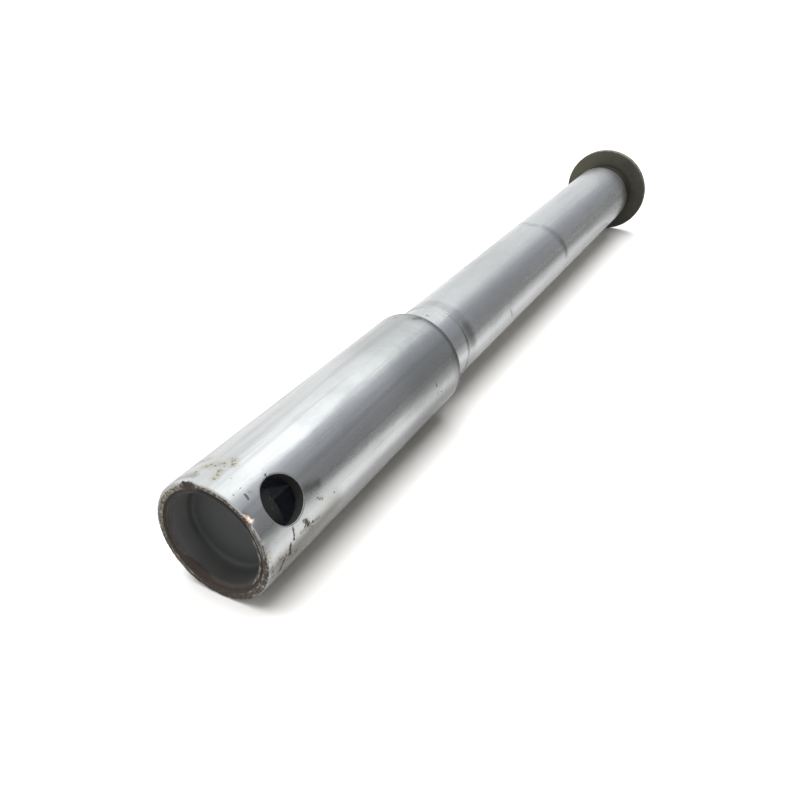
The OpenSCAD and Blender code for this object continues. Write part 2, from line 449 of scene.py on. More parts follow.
# Painted light and shade on the wall of the plug's cup, by the same turn: lighter on the left, darker on the right
# and at the bottom.
PLUG_WALL_LIGHT = [(0.0, (0.160, 0.163, 0.168)), (0.09, (0.145, 0.148, 0.152)), (0.18, (0.095, 0.097, 0.098)),
              (0.35, (0.060, 0.061, 0.060)), (0.62, (0.045, 0.046, 0.045)), (0.75, (0.036, 0.036, 0.035)),
              (0.84, (0.055, 0.056, 0.056)), (0.93, (0.115, 0.117, 0.120)), (1.0, (0.160, 0.163, 0.168))]


def strokes(place, wander, marks):
    """Some marks as one mask, and the place for the marks that follow."""
    laid = 0.0
    for radius, s0, a0, s1, a1, width, soft, ragged in marks:
        place, laid = use("Stroke", Place=place, Laid=laid, From=on_axle(s0, a0, radius),
                          To=on_axle(s1, a1, radius), Width=width * MM, Soft=soft, Ragged=ragged, Noise=wander)
    return laid, place


def mottled(mask, grain):
    """A soft mark broken up into dots by a grain."""
    return (mask.ramp(0.0, 1.0, 0.0, 0.5) + grain).ramp(0.97, 1.08)


def bright_metal(colours):
    """Worn bright metal, with rust and dirt at the open end, painted shade at the rim's inner edge, the shoulder and
    the cross hole, and a painted streak of light in the bore.
    """
    made, shader, place = new_finish("bright_metal_worn")
    _, along, _, radius = measured(place)
    turning = use("Turning marks", Place=place, Lines=4200.0, Waves=120.0)
    film = cloud(place, 60.0, 5.0, 0.62, (1.0, 0.45, 1.0)).ramp(0.40, 0.72)
    hair = use("Hairlines", Place=place, Turn=0.35, Scale=900.0, Thin=0.012)["Mask"]
    streak = cloud(place, 520.0, 3.0, 0.6, (1.0, 0.03, 1.0))
    fine = cloud(place, 2700.0, 3.0, 0.68)
    grit = cloud(place, 1250.0, 4.0, 0.70)
    # Single marks, on a place that is shaken a little.
    shake = put(place.tree, "ShaderNodeTexNoise", {"Vector": place, "Scale": 1700.0, "Detail": 2.0})[1]
    spot = place.vector("ADD", shake.vector("SUBTRACT", (0.5,) * 3).vector("MULTIPLY", (0.8 * MM,) * 3))
    dots = [(surface, s, a, s + 0.05, a, size, 0.7, 1.0) for surface, s, a, size in SPECKS]
    soot, spot = strokes(spot, fine, SOOT_MARKS + dots)
    grime, spot = strokes(spot, fine, GRIME_MARKS)
    grease, spot = strokes(spot, fine, GREASE_MARKS)
    copper, spot = strokes(spot, fine, COPPER_MARKS)
    glint, spot = strokes(spot, fine, GLINT_MARKS)
    smear, spot = strokes(spot, fine, SMEAR_MARKS)
    turn = around(place)
    haze = grime * 0.34
    grime = mottled(grime, grit) * 0.85
    # Grease next to the relief, and the thick end's duller length towards the shoulder.
    track = along.between(11.2 * MM, 15.8 * MM, 1.4 * MM) * film.ramp(0.0, 1.0, 0.30, 0.65)
    ledge = along.between(10.9 * MM, 11.4 * MM, 0.2 * MM) * turn.between(0.39, 0.58, 0.04).ramp(0.0, 1.0, 0.35, 0.8)
    grease = grease.most(track.most(ledge)) * 0.58
    tired = along.ramp(-38 * MM, -20 * MM) * along.ramp(0.2 * MM, -0.2 * MM)
    # The rim: dirt in tones that change round it, bare flecks, and a darker inner half.
    tone, share = shades(turn, RIM_TONES)
    lumps = (grit - 0.5) * (1.3 * MM)
    reach = radius + lumps + share * (1.2 * MM)
    rim = reach.ramp(15.30 * MM, 15.02 * MM) * (along + lumps).ramp(OPEN_END + 0.75 * MM, OPEN_END + 0.30 * MM)
    bare = (fine + share * 0.16).ramp(0.66, 0.78, 0.0, 0.7)
    scrape = radius.between(13.42 * MM, 13.56 * MM, 0.05 * MM).most(radius.between(14.25 * MM, 14.40 * MM, 0.06 * MM))
    bare = bare.most(scrape * turn.between(0.39, 0.47, 0.012) * 0.8)
    patchy = turn.between(0.43, 0.64, 0.02).most(turn.between(0.82, 0.94, 0.02))
    flakes = cloud(joined(radius * 1900.0, turn * 34.0), 1.0, 3.0, 0.6).ramp(0.53, 0.66) * patchy
    bare = bare.most(flakes * 0.62)
    tone = blend(grit.ramp(0.55, 0.44, 0.0, 0.8), tone, colours.dirt)
    tone = blend(grit.ramp(0.55, 0.62) * (share * 1.3), tone, (0.40, 0.36, 0.29))
    tone = blend(radius.ramp(13.8 * MM, 13.2 * MM, 0.0, 0.3), tone, colours.dirt)
    rim = rim * (1.0 - bare)
    # Painted shade: a black band along the rim's inner edge, over the top and to the right, where the shaded inside
    # shows past the edge.
    broad = radius + turn.ramp(0.34, 0.46, 0.0, 0.35 * MM)
    rim_edge_shade = turn.between(0.225, 0.56, 0.02) * broad.ramp(13.86 * MM, 13.66 * MM)
    rim_edge_shade = rim_edge_shade * along.ramp(OPEN_END + 0.8 * MM, OPEN_END + 0.5 * MM)
    mouth = radius.ramp(13.18 * MM, 13.04 * MM) * along.ramp(OPEN_END + 1.6 * MM, OPEN_END + 1.3 * MM)
    face = along.ramp(OPEN_END + 0.36 * MM, OPEN_END + 0.14 * MM, 0.0, 0.6)
    # The inside, down to the cross hole's lip: the bores, a painted streak of light along the wide one, and the cross
    # hole's wall and lip painted near black as shade.
    within = radius.ramp(14.94 * MM, 14.78 * MM) * along.between(OPEN_END + 1.5 * MM, -1.0 * MM, 0.1 * MM)
    within = within.most(radius.ramp(9.6 * MM, 9.2 * MM) * along.ramp(0.0, 1 * MM))
    painted_light_patch = turn.ramp(0.824, 0.836) * (turn + along * 6.84).ramp(0.461, 0.449)
    deep = blend(painted_light_patch, colours.bore, colours.bore_painted_light)
    # Painted shade: the cross hole's wall, near black.
    deep = blend(radius.ramp(12.02 * MM, 12.08 * MM), deep, colours.hole)
    # The shoulder's dark edge: painted shade where its rounding mirrors the dark side of the room.
    step = along.ramp(-2.5 * MM, -1.4 * MM, 0.0, 0.52).most(along.ramp(-1.0 * MM, -0.6 * MM))
    step = step * along.between(-9.0 * MM, 0.35 * MM, 0.1 * MM)
    step = step * (radius.ramp(12.4 * MM, 12.7 * MM) * turn.between(0.255, 0.58, 0.05).ramp(0.0, 1.0, 0.35, 0.95))
    # All of it in layers, from the metal outward.
    base = blend(film * 0.55, colours.metal, colours.metal_dull)
    base = blend(tired * 0.7, base, tinted(colours.metal_dull, 0.88))
    lined = streak.ramp(0.46, 0.68) * along.ramp(-2 * MM, 2 * MM, 0.42, 0.16)
    base = blend(lined, base, tinted(colours.metal_dull, 0.8))
    base = blend(grease, base, colours.grease)
    oily = blend(along.ramp(-40 * MM, -30 * MM), (0.15, 0.145, 0.05), colours.grease)
    base = blend(smear * 0.34, base, oily)
    # Painted shade at the shoulder's edge, in the grease colour.
    base = blend(step, base, tinted(colours.grease, 0.5))
    base = blend(haze, base, tinted(colours.grime, 2.4))
    crumbly = fine.ramp(0.46, 0.60) * turn.between(0.44, 0.60, 0.03).ramp(0.0, 1.0, 1.0, 0.35)
    base = blend(grime, base, blend(crumbly, tinted(colours.grime, 0.4), colours.tan))
    base = blend(face, base, (0.36, 0.355, 0.34))
    base = blend(rim, base, tone)
    base = blend(soot * 0.90, base, colours.soot)
    base = blend(copper, base, blend(glint, colours.copper, (0.95, 0.86, 0.80)))
    base = blend(within, base, deep)
    base = blend(mouth, base, blend(grit.ramp(0.42, 0.62), colours.dirt, colours.rust))
    base = blend(rim_edge_shade, base, tinted(colours.soot, 0.4))
    dirty = grime.most(rim, soot * 0.95, step.ramp(0.5, 1.0, 0.0, 0.7), face, copper, mouth, rim_edge_shade, within)
    gloss = film.ramp(0.0, 1.0, 0.23, 0.34) + (dirty * 0.45 + hair * 0.12)
    height = turning["Waves"] * 2.4 + (turning["Lines"] * 0.012 + streak * 0.4) - hair * 0.01
    height = height + along.ramp(OPEN_END + 0.7 * MM, OPEN_END + 0.2 * MM) * fine
    feed(shader, {"Base Color": base, "Metallic": 1.0 - dirty, "Roughness": gloss,
                  "Normal": bumped(height, 0.35, 0.12 * MM)})
    return made


def grey_plug(colours, sizes):
    """Dark grey moulded plastic, matt, with painted light and shade on its wall, painted shade in its corner and on
    the lip's front, and stains at its lip.
    """
    made, shader, place = new_finish("grey_plug_dust_and_shade")
    _, along, _, radius = measured(place)
    lip, floor = PLUG_LOW.y, PLUG_LOW.y + sizes.cup_depth
    mottle = cloud(place, 260.0, 4.0, 0.6)
    base = blend(mottle.ramp(0.35, 0.7), colours.plug, tinted(colours.plug, 1.15))
    turn = around(place)
    inside = radius.ramp(11.95 * MM, 11.85 * MM).most(along.ramp(lip + 0.69 * MM, lip + 0.62 * MM))
    # The cup's wall, with painted light and shade by the turn.
    wall = along.ramp(floor - 0.5 * MM, floor - 2.2 * MM) * inside
    base = blend(wall, base, shades(turn, PLUG_WALL_LIGHT)[0])
    # Painted shade in the corner between the cup's floor and its wall.
    corner = joined(radius - 10.9 * MM, along - (floor - 0.2 * MM))
    ring = corner.vector("LENGTH", out="Value").ramp(1.6 * MM, 0.2 * MM, 0.0, 0.10)
    base = blend(ring, base, tinted(colours.plug, 0.4))
    base = blend(inside, tinted(colours.plug, 0.22), base)
    flecks = use("Flecks", Place=place, Scale=900.0, Size=0.3, Share=0.04)["Mask"]
    creep = turn.between(0.79, 0.87, 0.03) * (0.9 * MM)
    rough = (cloud(place, 620.0, 3.0) - 0.5) * (0.9 * MM)
    stain = (along + rough - creep).ramp(lip + 0.45 * MM, lip - 0.1 * MM) * along.ramp(lip + 3 * MM, lip + 2.5 * MM)
    edge = along.ramp(lip + 1.1 * MM, lip + 0.5 * MM, 0.0, 0.85) * inside
    base = blend(edge, base, (0.040, 0.036, 0.034))
    base = blend(stain * 0.85, base, tinted(colours.rust, 0.6))
    # The lip's front: painted shade as a black band over the top, and light scrapes on the right.
    front = along.ramp(lip + 0.30 * MM, lip + 0.12 * MM)
    base = blend(turn.between(0.215, 0.40, 0.015) * front, base, tinted(colours.soot, 0.4))
    scrapes = cloud(joined(radius * 2400.0, turn * 30.0), 1.0, 2.0).ramp(0.46, 0.60)
    base = blend(scrapes * turn.between(0.405, 0.60, 0.015) * front, base, (0.28, 0.25, 0.22))
    base = blend(flecks * 0.35, base, colours.grime)
    feed(shader, {"Base Color": base, "Roughness": mottle.ramp(0.3, 0.7, 0.55, 0.70),
                  "Normal": bumped(cloud(place, 2600.0, 2.0), 0.25, 0.05 * MM)})
    return made


def olive_plating(colours):
    """Dark olive plating, with painted light on one side, painted shade towards the bottom and at the neck, and a
    lighter rim edge that is both wear and painted highlight.
    """
    made, shader, place = new_finish("olive_plating_worn")
    x, _, z, radius = measured(place)
    turning = use("Turning marks", Place=place, Lines=3000.0, Waves=90.0)
    tone = cloud(place, 110.0, 4.0, 0.6)
    base = blend(tone.ramp(0.38, 0.62), tinted(colours.olive, 0.72), colours.olive)
    # Painted light and shade: lighter and yellower towards -X, darker towards the bottom.
    base = blend(x.ramp(4 * MM, -12 * MM), base, colours.olive_lit_side)
    base = blend(z.ramp(11 * MM, -6 * MM, 0.0, 0.4), base, tinted(colours.olive, 0.5))
    # Painted shade at the neck and on the face next to it.
    base = blend(radius.ramp(13.0 * MM, 10.9 * MM, 0.0, 0.5), base, colours.soot)
    # The rim edge lighter: worn plating and a painted highlight.
    worn = radius.ramp(SCREW_HIGH.x - 0.35 * MM, SCREW_HIGH.x - 0.12 * MM) * cloud(place, 500.0, 3.0).ramp(0.32, 0.56)
    base = blend(worn * 0.6, base, colours.olive_worn_and_highlight)
    flecks = use("Flecks", Place=place, Scale=520.0, Size=0.3, Share=0.08)["Mask"]
    base = blend(flecks * 0.5, base, colours.soot)
    hair = use("Hairlines", Place=place, Turn=1.2, Scale=700.0, Thin=0.012)["Mask"]
    height = turning["Lines"] * 0.05 + turning["Waves"] * 0.5
    feed(shader, {"Base Color": base, "Metallic": 0.35, "Roughness": tone.ramp(0.3, 0.7, 0.46, 0.60) - hair * 0.1,
                  "Normal": bumped(height, 0.3, 0.12 * MM)})
    return made


def rim_crust(colours):
    """Crumbs of rust and dirt."""
    made, shader, place = new_finish("rim_crust_rust")
    tone = cloud(place, 700.0, 3.0)
    base = blend(tone.ramp(0.48, 0.70), colours.dirt, colours.grime)
    base = blend(cloud(place, 1300.0, 2.0).ramp(0.56, 0.66), base, (0.42, 0.34, 0.31))
    feed(shader, {"Base Color": base, "Roughness": tone.ramp(0.3, 0.7, 0.6, 0.85)})
    return made


def softened(corners, steps=4):
    """A section line with its corners rounded. A corner is a radius, a place along the axis and its rounding."""
    points = np.array([c[:2] for c in corners], float)
    line = [points[0]]
    for k in range(1, len(points) - 1):
        here, rounding = points[k], corners[k][2]
        back, on = points[k - 1] - here, points[k + 1] - here
        lengths = np.linalg.norm(back), np.linalg.norm(on)
        if rounding <= 0 or min(lengths) < 1e-9:
            line.append(here)
            continue
        back, on = back / lengths[0], on / lengths[1]
        half = math.acos(max(-1.0, min(1.0, float(back @ on)))) / 2
        cut = min(rounding / math.tan(half), 0.45 * min(lengths))
        for f in np.linspace(0, 1, steps + 1):
            line.append((1 - f) ** 2 * (here + cut * back) + 2 * f * (1 - f) * here + f ** 2 * (here + cut * on))
    line.append(points[-1])
    return line


def divided(line, longest, guard):
    """A section line with rows close to its corners and no step longer than asked."""
    made = [line[0]]
    for start, end in zip(line[:-1], line[1:]):
        span = float(np.linalg.norm(end - start))
        if span < 1e-9:
            continue
        inner = [0.0, span]
        if span > 3 * guard:
            inner = [0.0, guard, *np.linspace(guard, span - guard, max(2, math.ceil(span / longest) + 1))[1:-1],
                     span - guard, span]
        made.extend(start + (end - start) * (f / span) for f in inner[1:])
    return made


def turned_rows(line, angles):
    """Points of a section line turned about the axis."""
    line = np.asarray(line, float)
    r, y = line[:, 0][:, None], line[:, 1][:, None]
    return np.stack([r * np.cos(angles), y + 0 * angles, r * np.sin(angles)], axis=-1)


# Faces that meet at more than this, in degrees, keep a sharp edge.
CREASE = 38


def smooth(mesh, degrees=CREASE):
    """Smooth shading, with creases kept sharp."""
    mesh.shade_smooth()
    mesh.set_sharp_from_angle(angle=math.radians(degrees))


def cleaned(mesh, merge=0.0, move=None):
    """Closes a mesh's seams, moves its points and turns its faces outward."""
    work = bmesh.new()
    work.from_mesh(mesh)
    if merge:
        bmesh.ops.remove_doubles(work, verts=work.verts, dist=merge)
    if move:
        for v in work.verts:
            v.co = move(v.co)
    bmesh.ops.recalc_face_normals(work, faces=work.faces)
    work.to_mesh(mesh)
    work.free()


class Skin:
    """Gathers grids of points into one closed mesh."""

    def __init__(self):
        self.points, self.faces, self.count = [], [], 0

    def add(self, grid):
        rows, cols = grid.shape[:2]
        index = np.arange(rows * cols).reshape(rows, cols) + self.count
        quads = np.stack([index[:-1, :-1], index[1:, :-1], index[1:, 1:], index[:-1, 1:]], axis=-1)
        self.points.append(grid.reshape(-1, 3))
        self.faces.append(quads.reshape(-1, 4))
        self.count += rows * cols

    def mesh(self, name, move=None):
        """The mesh, with its seams closed and its faces outward."""
        made = bpy.data.meshes.new(name)
        made.from_pydata(np.concatenate(self.points).tolist(), [], np.concatenate(self.faces).tolist())
        cleaned(made, 2e-6, move)
        smooth(made)
        return made


def linked(name, data):
    """A new object in the scene."""
    made = bpy.data.objects.new(name, data)
    bpy.context.scene.collection.objects.link(made)
    return made


def applied(holder, name):
    """An object's mesh with its modifiers applied, as a plain mesh. The object is removed."""
    graph = bpy.context.evaluated_depsgraph_get()
    made = bpy.data.meshes.new_from_object(holder.evaluated_get(graph), preserve_all_data_layers=True,
                                           depsgraph=graph)
    made.name = name
    holder.modifiers.clear()
    bpy.data.objects.remove(holder)
    return made


def place_piece(name, mesh, finish, node=None):
    """Links a finished piece, sets its finish and tells the frame what it is."""
    piece = linked(name, mesh)
    mesh.materials.clear()
    mesh.materials.append(finish)
    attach(piece, "root")
    if node:
        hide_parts(node)


def finish(name, maker, *values):
    """A finish by its name, made once."""
    return bpy.data.materials.get(name) or maker(*values)


def bumps(degrees, rows):
    """Smooth bumps round the axis, each a place, a half width and a height."""
    total = 0.0
    for at, wide, high in rows:
        gap = (degrees - at + 180.0) % 360.0 - 180.0
        total += high * math.exp(-((gap / wide) ** 2))
    return total


# Knocks in the outer edge of the open end: degrees from +X, half width in degrees and depth in mm.
EDGE_KNOCKS = [(42, 3.0, 0.36), (47, 2.0, 0.2), (118, 4.0, 0.16), (101, 2.5, 0.12), (-8, 3.5, 0.16),
               (-24, 3.0, 0.18), (152, 4.0, 0.12), (20, 2.0, 0.12)]
# Wear of that edge in mm: how far in its middle lies, how far along and how far from the bore it is felt,
# and how it spreads from the middle.
WEAR_IN, WEAR_ALONG, WEAR_FROM_BORE, WEAR_SPREAD = 0.27, 3.2, 1.2, 0.95
# Its depth in mm, even, in long waves and in short ones, how fine the waves are, and the share that goes each way.
WEAR_EVEN, WEAR_LONG, WEAR_SHORT, LONG_WAVES, SHORT_WAVES, WEAR_SHARE = 0.10, 0.10, 0.07, 5.0, 26.0, 0.72
# Grain on the end's face: depth and reach in mm, and how fine it is.
GRAIN_DEPTH, GRAIN_REACH, GRAIN_FINE = 0.05, 0.35, 2600.0


def edge_wear(sizes):
    """How the open end's outer edge is worn and knocked."""
    middle = np.array([sizes.head_radius - WEAR_IN * MM, OPEN_END + WEAR_IN * MM])

    def move(point):
        r = math.hypot(point.x, point.z)
        if point.y > OPEN_END + WEAR_ALONG * MM or r < sizes.bore_radius + WEAR_FROM_BORE * MM:
            return point
        turn = math.atan2(point.z, point.x)
        off = math.hypot(r - middle[0], point.y - middle[1]) / MM
        near = math.exp(-((off / WEAR_SPREAD) ** 2))
        ring = Vector((math.cos(turn), math.sin(turn), 0.0))
        coarse = noise.noise(ring * LONG_WAVES + Vector((0, 0, 3.1)))
        fine = noise.noise(ring * SHORT_WAVES + Vector((0, 0, 7.7)))
        depth = WEAR_EVEN + WEAR_LONG * coarse + WEAR_SHORT * fine + bumps(math.degrees(turn), EDGE_KNOCKS)
        take = WEAR_SHARE * max(0.0, depth) * near * MM
        ends = math.exp(-(((point.y - OPEN_END) / (GRAIN_REACH * MM)) ** 2))
        grain = GRAIN_DEPTH * MM * ends * (0.5 + 0.5 * noise.noise(point * GRAIN_FINE))
        r_new = r - take
        return Vector((math.cos(turn) * r_new, point.y + take + max(0.0, grain), math.sin(turn) * r_new))

    return move


# Rings of the cross hole: on the outer skin, its lip, the wall, the inner lip and the bore, with the outer rings'
# crowding towards the hole. Then the inner lip's rounding.
SKIN_RINGS, LIP_RINGS, WALL_RINGS, INNER_RINGS, BORE_RINGS, CROWDING = 15, 6, 8, 4, 9, 1.35
INNER_LIP = 0.2 * MM
# Where the skin round the hole starts, from the open end, and where it ends, from the hole's middle.
PATCH_FROM, PATCH_TO, PATCH_ROWS = 2.0 * MM, 8.4 * MM, 15


def hole_tube(sizes, lean, rows, half_columns, step):
    """The cross hole from the outer skin to the bore, with the skin round each of its mouths."""
    outer, inner, hole = sizes.head_radius, sizes.bore_radius, sizes.hole_radius
    middle = OPEN_END + sizes.hole_in
    turns = np.arange(-half_columns, half_columns + 1) * step
    edge = [(a, rows[0]) for a in turns] + [(turns[-1], y) for y in rows[1:]]
    edge += [(a, rows[-1]) for a in turns[-2::-1]] + [(turns[0], y) for y in rows[-2::-1]]
    edge = np.array(edge)
    round_at = np.arctan2(outer * edge[:, 0], edge[:, 1] - middle)
    lip = sizes.hole_lip * (1 + 0.35 * np.array([noise.noise(Vector((math.cos(a) * 3, math.sin(a) * 3, lean)))
                                                 for a in round_at]))
    lip[-1] = lip[0]

    def skin(radius, reach, share):
        """A ring on a cylinder between the hole's edge and the border."""
        rim = np.arcsin(reach * np.sin(round_at) / radius)
        turn = rim + (edge[:, 0] - rim) * share + lean
        drop = reach * np.cos(round_at)
        y = middle + drop + (edge[:, 1] - middle - drop) * share
        return np.stack([radius * np.cos(turn), y, radius * np.sin(turn)], axis=-1)

    def wall(reach, depth):
        """A ring at a depth from the axis."""
        t = reach * np.sin(round_at)
        return np.stack([depth * math.cos(lean) - t * math.sin(lean), middle + reach * np.cos(round_at),
                         depth * math.sin(lean) + t * math.cos(lean)], axis=-1)

    rings = [skin(outer, hole + lip, (1 - f) ** CROWDING) for f in np.linspace(0, 1, SKIN_RINGS)]
    for a in np.linspace(0, math.pi / 2, LIP_RINGS)[1:]:
        reach = hole + lip * (1 - math.sin(a))
        depth = np.sqrt(outer ** 2 - (reach * np.sin(round_at)) ** 2)
        rings.append(wall(reach, depth - lip * (1 - math.cos(a))))
    t = hole * np.sin(round_at)
    high, low = np.sqrt(outer ** 2 - t ** 2) - lip, np.sqrt(inner ** 2 - t ** 2) + INNER_LIP
    rings += [wall(hole + 0 * t, high + (low - high) * f) for f in np.linspace(0, 1, WALL_RINGS)[1:]]
    for a in np.linspace(math.pi / 2, 0, INNER_RINGS)[1:-1]:
        reach = hole + INNER_LIP * (1 - math.sin(a)) + 0 * t
        depth = np.sqrt(inner ** 2 - (reach * np.sin(round_at)) ** 2)
        rings.append(wall(reach, depth + INNER_LIP * (1 - math.cos(a))))
    rings += [skin(inner, hole + INNER_LIP, f) for f in np.linspace(0, 1, BORE_RINGS)]
    return np.stack(rings)


class AXLE_OT_shaft(Operator):
    """Turn the hollow spindle, with its cross hole and worn open end"""

    bl_idname = "axle.shaft"
    bl_label = "Shaft"

    def execute(self, context):
        z = context.scene.shaft_sizes
        count = z.columns
        step = 2 * math.pi / count
        half_columns = count // 9
        angles = z.hole_turn + np.arange(count + 1) * step
        low, high = OPEN_END + PATCH_FROM, OPEN_END + z.hole_in + PATCH_TO
        rows = np.linspace(low, high, PATCH_ROWS)
        head, bore, shaft = z.head_radius, z.bore_radius, z.shaft_radius
        relief = shaft - z.relief_depth
        bore_end = OPEN_END + z.bore_depth
        narrow = z.shaft_bore_radius
        screw_in = TIP - z.thread_bore_length
        mouth = softened([(bore, low, 0), (bore, OPEN_END + z.mouth_edge, 0.12 * MM),
                          (bore + z.mouth_edge, OPEN_END, 0.16 * MM), (head, OPEN_END, z.end_round),
                          (head, low, 0)], 10)
        soft = 0.3 * MM
        length_line = softened([
            (head, high, 0), (head, 0, z.shoulder_round), (relief, 0, soft), (relief, z.relief_length, soft),
            (shaft, z.relief_length + z.relief_depth, soft), (shaft, z.line_at - z.line_width / 2, soft),
            (shaft - z.line_depth, z.line_at, soft), (shaft, z.line_at + z.line_width / 2, soft),
            (shaft, TIP - z.tip_edge, soft), (shaft - z.tip_edge, TIP, 0.2 * MM),
            (z.thread_bore_radius, TIP, 0), (z.thread_bore_radius, screw_in, 0),
            (narrow, screw_in - z.thread_bore_radius + narrow, 0), (narrow, bore_end + bore - narrow, 0),
            (bore, bore_end, 0), (bore, high, 0)])
        skin = Skin()
        skin.add(turned_rows(divided(mouth, 0.25 * MM, 0.08 * MM), angles))
        skin.add(turned_rows(divided(length_line, 2.5 * MM, 0.25 * MM), angles))
        for start in (half_columns, half_columns + count // 2):
            part = angles[start:start + count // 2 - 2 * half_columns + 1]
            for radius in (head, bore):
                skin.add(turned_rows([(radius, y) for y in rows], part))
        for lean in (z.hole_turn, z.hole_turn + math.pi):
            skin.add(hole_tube(z, lean, rows, half_columns, step))
        mesh = skin.mesh("shaft_body", edge_wear(z))
        colours = context.scene.axle_finishes
        material = finish("bright_metal_worn", bright_metal, colours)
        place_piece("shaft_body", mesh, material, "axle_shaft")
        return {"FINISHED"}


def socket(tree, label):
    """The identifier of a Geometry Nodes input by its label."""
    return next(i.identifier for i in tree.interface.items_tree if i.name == label and i.in_out == "INPUT")


def lathe_tree():
    """Turns a row of section points about the axis."""
    tree, given, result = new_tree("Lathe", "GeometryNodeTree",
                                   {"Geometry": "Geometry", "Segments": "Int", "Finish": "Material"},
                                   {"Geometry": "Geometry"})
    size = put(tree, "GeometryNodeAttributeDomainSize", {0: given["Geometry"]}, component="MESH")[0]
    columns = given["Segments"] + 1.0
    grid = put(tree, "GeometryNodeMeshGrid", {"Vertices X": size, "Vertices Y": columns})["Mesh"]
    index = put(tree, "GeometryNodeInputIndex")[0]
    row = ((index + 0.25) / columns).math("FLOOR")
    angle = (index - row * columns) * (2 * math.pi) / given["Segments"]
    point = put(tree, "GeometryNodeSampleIndex",
                {"Geometry": given["Geometry"], "Value": put(tree, "GeometryNodeInputPosition")[0], "Index": row},
                data_type="FLOAT_VECTOR", domain="POINT")[0]
    r, y, _ = put(tree, "ShaderNodeSeparateXYZ", {0: point})
    place = put(tree, "ShaderNodeCombineXYZ", {0: r * angle.math("COSINE"), 1: y, 2: r * angle.math("SINE")})[0]
    moved = put(tree, "GeometryNodeSetPosition", {"Geometry": grid, "Position": place})[0]
    closed = put(tree, "GeometryNodeMergeByDistance", {"Geometry": moved, "Distance": 2e-6})[0]
    real = put(tree, "GeometryNodeRealizeInstances", {"Geometry": closed})[0]
    dressed = put(tree, "GeometryNodeSetMaterial", {"Geometry": real, "Material": given["Finish"]})[0]
    feed(result, {"Geometry": dressed})
    return tree


def grown(name, mesh, tree, values):
    """Runs a Geometry Nodes tree on a mesh, and returns the result as a plain mesh."""
    holder = linked(name + "_seed", mesh)
    nodes = holder.modifiers.new("nodes", "NODES")
    nodes.node_group = tree
    for label, value in values.items():
        nodes[socket(tree, label)] = value
    return applied(holder, name)


def turned_mesh(name, line, material, segments=160):
    """A closed turned mesh from its section line."""
    seed = bpy.data.meshes.new(name + "_section")
    seed.from_pydata([(float(r), float(y), 0.0) for r, y in line], [], [])
    tree = bpy.data.node_groups.get("Lathe") or lathe_tree()
    made = grown(name, seed, tree, {"Segments": segments, "Finish": material})
    cleaned(made, 1e-6)
    if not made.polygons:
        raise RuntimeError(name + " has no faces")
    smooth(made)
    return made


class AXLE_OT_plug(Operator):
    """Turn the cup-shaped plug in the open end"""

    bl_idname = "axle.plug"
    bl_label = "Plug"

    def execute(self, context):
        z, colours = context.scene.fitting_sizes, context.scene.axle_finishes
        outer, wide = context.scene.shaft_sizes.bore_radius, PLUG_HIGH.z
        lip, end, edge = PLUG_LOW.y, PLUG_HIGH.y, z.plug_edge
        floor, cup = lip + z.cup_depth, outer - z.cup_wall
        rise = cup + z.cup_draft
        line = softened([(0, floor, 0), (cup, floor, z.cup_round), (rise, lip + z.lip_edge, 1.0 * MM),
                         (rise + z.lip_edge, lip, 0.12 * MM), (wide, lip, 0.06 * MM),
                         (outer, lip + wide - outer, 0.1 * MM), (outer, end - edge, 0.1 * MM),
                         (outer - edge, end, 0.1 * MM), (0, end, 0)], 6)
        material = finish("grey_plug_dust_and_shade", grey_plug, colours, z)
        mesh = turned_mesh("plug_cup", divided(line, 1.2 * MM, 0.1 * MM), material)
        place_piece("plug_cup", mesh, material, "end_plug")
        return {"FINISHED"}


class AXLE_OT_screw(Operator):
    """Turn the flanged screw and cut its hexagon socket"""

    bl_idname = "axle.screw"
    bl_label = "Screw"

    def execute(self, context):
        z, colours = context.scene.fitting_sizes, context.scene.axle_finishes
        start, end, rim = SCREW_LOW.y, SCREW_HIGH.y, SCREW_HIGH.x
        under = end - z.flange_thickness
        line = softened([(0, start, 0), (z.shank_radius - z.shank_edge, start, 0.1 * MM),
                         (z.shank_radius, start + z.shank_edge, 0.1 * MM), (z.shank_radius, TIP, 0.05 * MM),
                         (z.neck_radius, TIP, 0.1 * MM), (z.neck_radius, under, 0.5 * MM),
                         (rim, under, z.flange_round), (rim, end, z.flange_round), (0, end, 0)], 7)
        material = finish("olive_plating_worn", olive_plating, colours)
        mesh = turned_mesh("flanged_screw", divided(line, 1.5 * MM, 0.12 * MM), material)
        body = linked("screw_blank", mesh)
        corner = z.key_size / 2 / math.cos(math.radians(30))
        ring = [Vector((corner * math.cos(k * math.pi / 3), 0, corner * math.sin(k * math.pi / 3))) for k in range(6)]
        points = [p + Vector((0, y, 0)) for y in (end - z.key_depth, end + 2 * MM) for p in ring]
        sides = [(k, (k + 1) % 6, 6 + (k + 1) % 6, 6 + k) for k in range(6)]
        cutter = bpy.data.meshes.new("key_cutter")
        cutter.from_pydata(points, [], [(5, 4, 3, 2, 1, 0), (6, 7, 8, 9, 10, 11), *sides])
        cleaned(cutter)
        tool = linked("key_cutter", cutter)
        cut = body.modifiers.new("socket", "BOOLEAN")
        cut.operation, cut.solver, cut.object = "DIFFERENCE", "EXACT", tool
        made = applied(body, "flanged_screw_cut")
        bpy.data.objects.remove(tool)
        smooth(made)
        place_piece("flanged_screw", made, material, "axle_screw")
        return {"FINISHED"}


